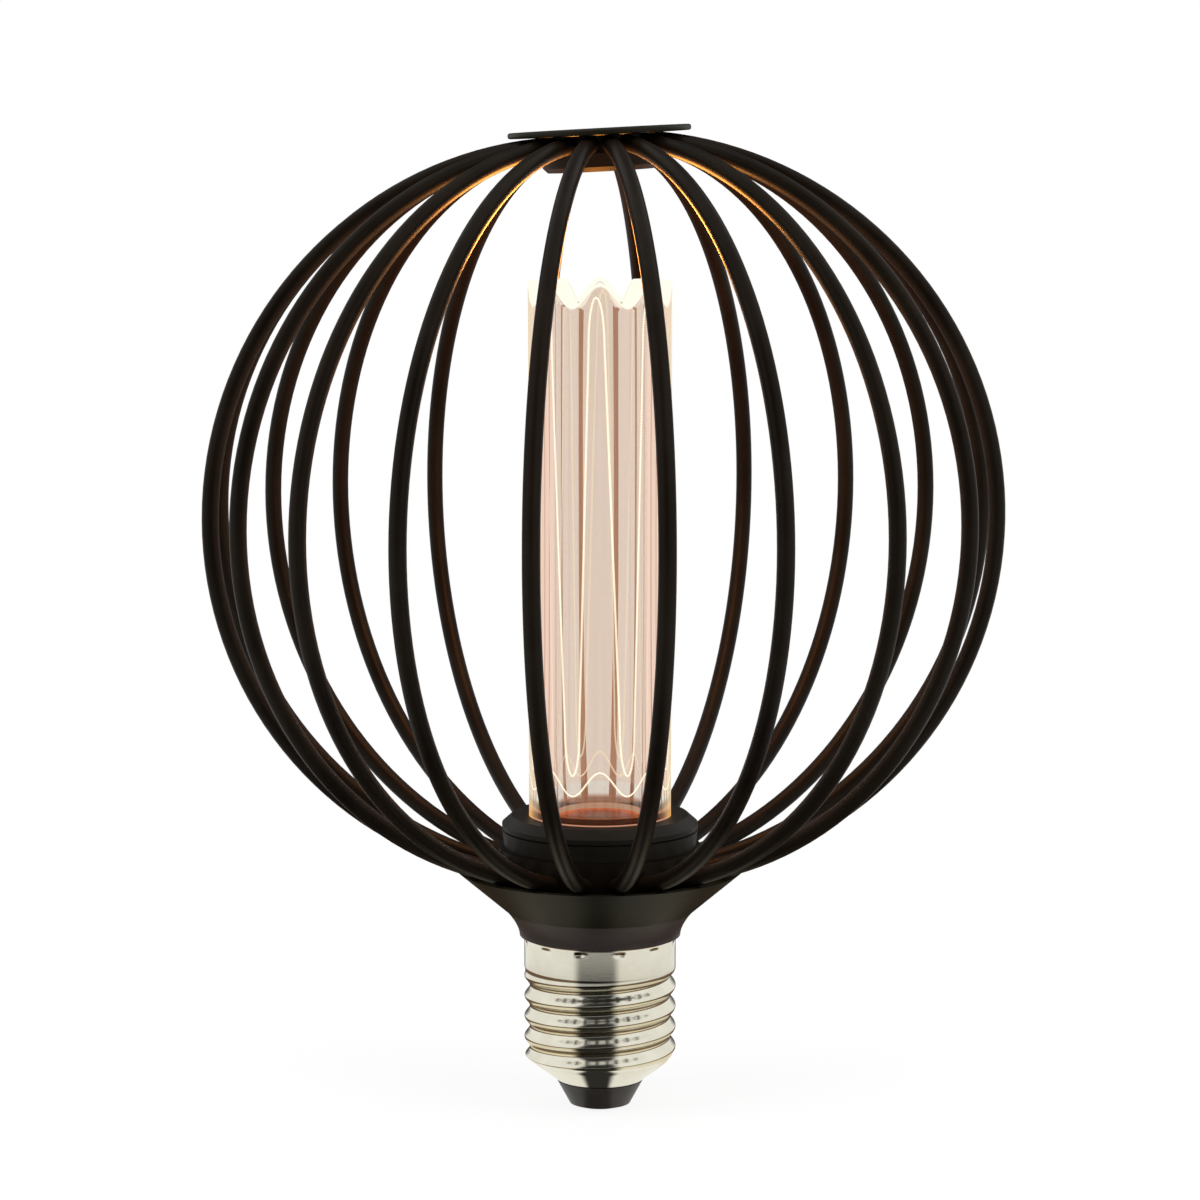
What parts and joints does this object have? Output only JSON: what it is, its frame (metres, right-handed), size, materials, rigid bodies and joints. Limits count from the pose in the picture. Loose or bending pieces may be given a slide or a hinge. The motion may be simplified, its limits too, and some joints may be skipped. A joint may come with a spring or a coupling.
{
  "type": "led globe bulb",
  "caption": "Screw-in LED lamp with a clear fluted-top light guide inside a globe cage of bent black wires.",
  "frame": {"origin": "middle of the centre contact's flat underside, at the lower end of the screw cap", "axes": "+Z along the lamp's axis from the cap to the cage's top plate, -Y towards the front of the picture's view"},
  "size_m": [0.1363, 0.1364, 0.1703],
  "materials": {
    "contact_metal": "tinned brass plate",
    "insulator_black": "glossy black insulator",
    "nickel_shell": "bright nickel plate, warm in tone",
    "housing_plastic": "fine matt black moulding",
    "black_steel": "satin black powder coat",
    "collar_plastic": "satin black moulding",
    "clear_acrylic": "clear polished acrylic",
    "board_metal": "white-lacquered metal board",
    "led_phosphor": "amber phosphor",
    "plug_plastic": "dark glossy moulding",
    "circuit_board": "green lacquered board",
    "capacitor_can": "dark sleeved can",
    "ferrite": "dark ferrite",
    "chip_epoxy": "black epoxy",
    "resistor_body": "lacquered ceramic",
    "lead_copper": "tinned copper"
  },
  "bodies": {
    "root": {"cage_hub": "black_steel", "cage_sleeve": "black_steel", "cage_wire_01": "black_steel", "cage_wire_02": "black_steel", "cage_wire_03": "black_steel", "cage_wire_04": "black_steel", "cage_wire_05": "black_steel", "cage_wire_06": "black_steel", "cage_wire_07": "black_steel", "cage_wire_08": "black_steel", "cage_wire_09": "black_steel", "cage_wire_10": "black_steel", "cage_wire_11": "black_steel", "cage_wire_12": "black_steel", "cage_wire_13": "black_steel", "cage_wire_14": "black_steel", "cage_wire_15": "black_steel", "cage_wire_16": "black_steel", "cage_wire_17": "black_steel", "cage_wire_18": "black_steel", "cage_wire_19": "black_steel", "cage_wire_20": "black_steel", "capacitor": "capacitor_can", "collar": "collar_plastic", "contact": "contact_metal", "controller": "chip_epoxy", "dish": "black_steel", "driver_board": "circuit_board", "fuse_resistor": "resistor_body", "guide_plug": "plug_plastic", "housing": "housing_plastic", "inductor": "ferrite", "insulator": "insulator_black", "led_board": "board_metal", "led_chips": "led_phosphor", "led_lead_1": "lead_copper", "led_lead_2": "lead_copper", "light_guide": "clear_acrylic", "live_lead": "lead_copper", "neutral_lead": "lead_copper", "rectifier": "chip_epoxy", "screw_shell": "nickel_shell", "top_plate": "black_steel"}
  },
  "joints": []
}
